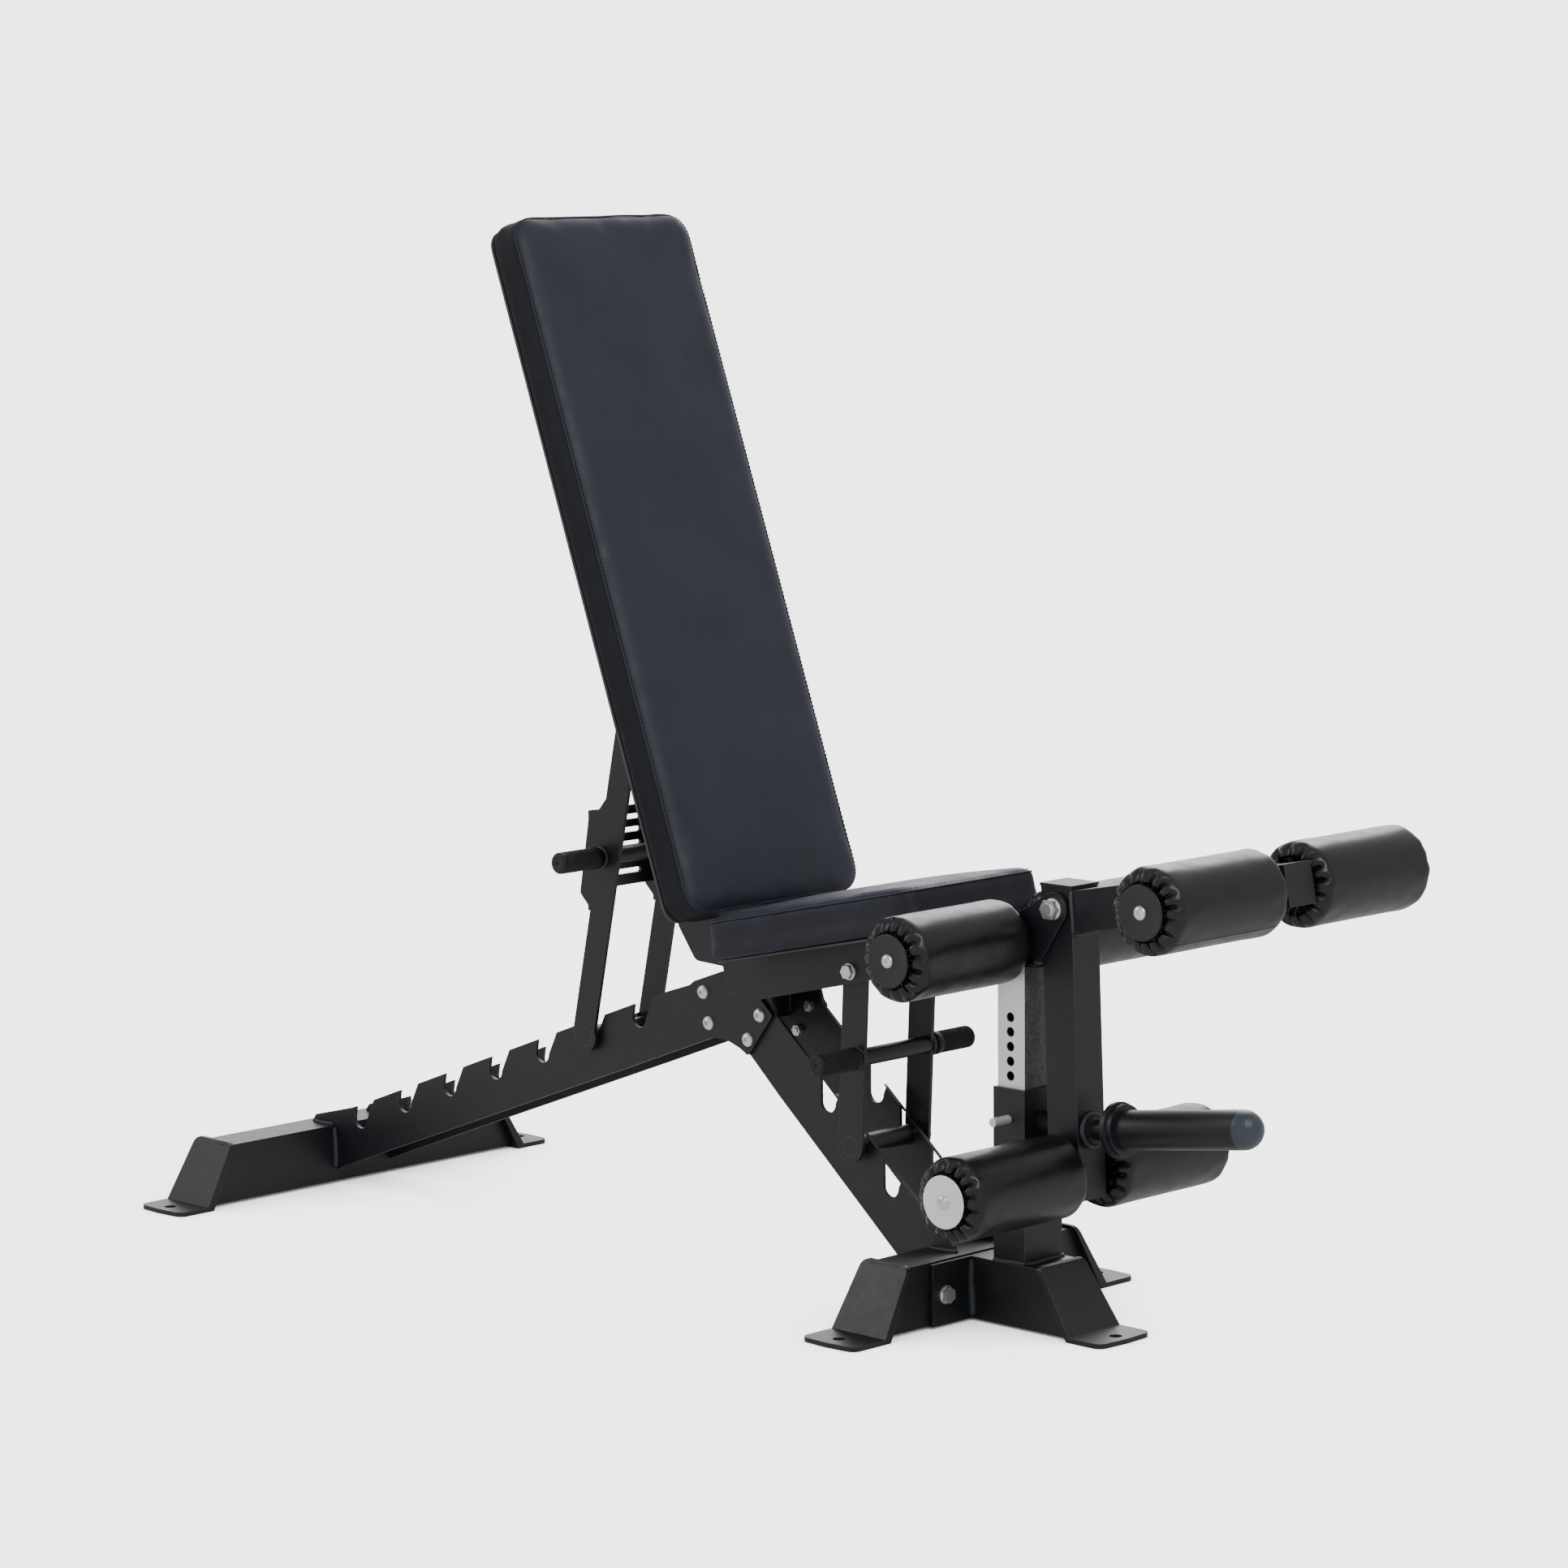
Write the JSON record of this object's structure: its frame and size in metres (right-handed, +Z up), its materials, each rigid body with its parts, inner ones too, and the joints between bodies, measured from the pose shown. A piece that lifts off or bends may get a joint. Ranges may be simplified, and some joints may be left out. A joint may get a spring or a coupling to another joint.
{
  "type": "adjustable weight bench",
  "caption": "Adjustable weight bench with reclining backrest, tilting seat, notched ladder frame and a leg attachment with foam rollers and a plate horn.",
  "frame": {"origin": "middle of the bounding box on the floor", "axes": "+X along the bench towards the leg attachment, +Y to the user's left when seated facing the leg attachment, +Z up"},
  "size_m": [1.7458, 0.6758, 1.334],
  "materials": {
    "powder_black": "satin textured black powder coat",
    "zinc": "zinc plated",
    "bright_steel": "bright drawn steel",
    "leatherette": "dark charcoal leatherette",
    "roller_vinyl": "glossy black vinyl over foam",
    "rubber": "moulded black rubber",
    "black_plastic": "moulded black plastic"
  },
  "bodies": {
    "base": {"rear_tube": "powder_black", "rear_feet": "powder_black", "ladder_near": "powder_black", "ladder_far": "powder_black", "leg_near": "powder_black", "leg_far": "powder_black", "leg_web": "powder_black", "joint_bolts": "zinc", "joint_nuts": "zinc", "front_tube": "powder_black", "front_feet": "powder_black", "extension_plate": "powder_black", "extension_bolts": "zinc", "extension_tube": "powder_black", "extension_foot": "powder_black", "post": "powder_black", "bumper": "rubber", "pivot_shaft": "zinc", "pivot_spacers": "powder_black"},
    "backrest": {"back_pad": "leatherette", "back_board": "black_plastic", "back_rails": "powder_black", "back_cross": "powder_black", "back_pins": "zinc"},
    "seat": {"seat_pad": "leatherette", "seat_board": "black_plastic", "seat_frame": "powder_black", "seat_cross": "powder_black", "seat_bolts": "zinc"},
    "rear_prop": {"rear_prop_arms": "powder_black", "rear_prop_bar": "bright_steel", "rear_prop_handle": "powder_black", "rear_prop_grips": "rubber", "rear_prop_plate": "powder_black"},
    "seat_prop": {"seat_prop_arms": "powder_black", "seat_prop_bar": "bright_steel", "seat_prop_handle": "powder_black", "seat_prop_grips": "rubber"},
    "leg_carriage": {"inner_tube": "bright_steel", "head_plate": "powder_black", "head_brackets": "powder_black", "head_bolt": "zinc", "thigh_rod": "bright_steel", "thigh_discs": "powder_black"},
    "pull_pin": {"pull_pin": "zinc"},
    "leg_arm": {"arm_tube": "powder_black", "tube_caps": "powder_black", "upper_tube": "powder_black", "horn_flange": "powder_black", "horn_sleeve": "bright_steel", "horn_cap": "black_plastic", "arm_rods": "bright_steel", "arm_discs": "powder_black"},
    "roller_thigh_near": {"roller_thigh_near": "roller_vinyl"},
    "roller_thigh_far": {"roller_thigh_far": "roller_vinyl"},
    "roller_low_near": {"roller_low_near": "roller_vinyl"},
    "roller_low_far": {"roller_low_far": "roller_vinyl"},
    "roller_fore_near": {"roller_fore_near": "roller_vinyl"},
    "roller_fore_far": {"roller_fore_far": "roller_vinyl"}
  },
  "joints": [
    {"name": "backrest_recline", "type": "hinge", "parent": "base", "child": "backrest", "pos_m": [0.009, 0, 0.43], "axis": [0, 1, 0], "range_deg": [-69.9, 6]},
    {"name": "seat_tilt", "type": "hinge", "parent": "base", "child": "seat", "pos_m": [0.009, 0, 0.43], "axis": [0, -1, 0], "range_deg": [-12.3, 12.7]},
    {"name": "rear_prop_swing", "type": "hinge", "parent": "base", "child": "rear_prop", "pos_m": [-0.279, 0, 0.2723], "axis": [0, 1, 0], "range_deg": [-91, 8]},
    {"name": "seat_prop_swing", "type": "hinge", "parent": "base", "child": "seat_prop", "pos_m": [0.2014, 0, 0.1935], "axis": [0, -1, 0], "range_deg": [-34.6, 35.7]},
    {"name": "leg_height", "type": "slide", "parent": "base", "child": "leg_carriage", "axis": [0, 0, 1], "range_m": [-0.054, 0.036]},
    {"name": "pin_pull", "type": "slide", "parent": "base", "child": "pull_pin", "axis": [0, -1, 0], "range_m": [0, 0.012], "stiffness_N_per_m": 600},
    {"name": "leg_lift", "type": "hinge", "parent": "leg_carriage", "child": "leg_arm", "pos_m": [0.509, 0, 0.52], "axis": [0, -1, 0], "range_deg": [0, 95]},
    {"name": "thigh_near_spin", "type": "hinge", "parent": "leg_carriage", "child": "roller_thigh_near", "pos_m": [0.4348, -0.132, 0.4748], "axis": [0, 1, 0], "continuous": true},
    {"name": "thigh_far_spin", "type": "hinge", "parent": "leg_carriage", "child": "roller_thigh_far", "pos_m": [0.4348, 0.132, 0.4748], "axis": [0, 1, 0], "continuous": true},
    {"name": "low_near_spin", "type": "hinge", "parent": "leg_arm", "child": "roller_low_near", "pos_m": [0.521, -0.132, 0.199], "axis": [0, 1, 0], "continuous": true},
    {"name": "low_far_spin", "type": "hinge", "parent": "leg_arm", "child": "roller_low_far", "pos_m": [0.521, 0.132, 0.199], "axis": [0, 1, 0], "continuous": true},
    {"name": "fore_near_spin", "type": "hinge", "parent": "leg_arm", "child": "roller_fore_near", "pos_m": [0.8223, -0.132, 0.573], "axis": [0, 1, 0], "continuous": true},
    {"name": "fore_far_spin", "type": "hinge", "parent": "leg_arm", "child": "roller_fore_far", "pos_m": [0.8223, 0.132, 0.573], "axis": [0, 1, 0], "continuous": true}
  ],
  "couplings": [
    {"joint": "rear_prop_swing", "follows": "backrest_recline", "ratio": 1.3},
    {"joint": "seat_prop_swing", "follows": "seat_tilt", "ratio": 2.8}
  ]
}
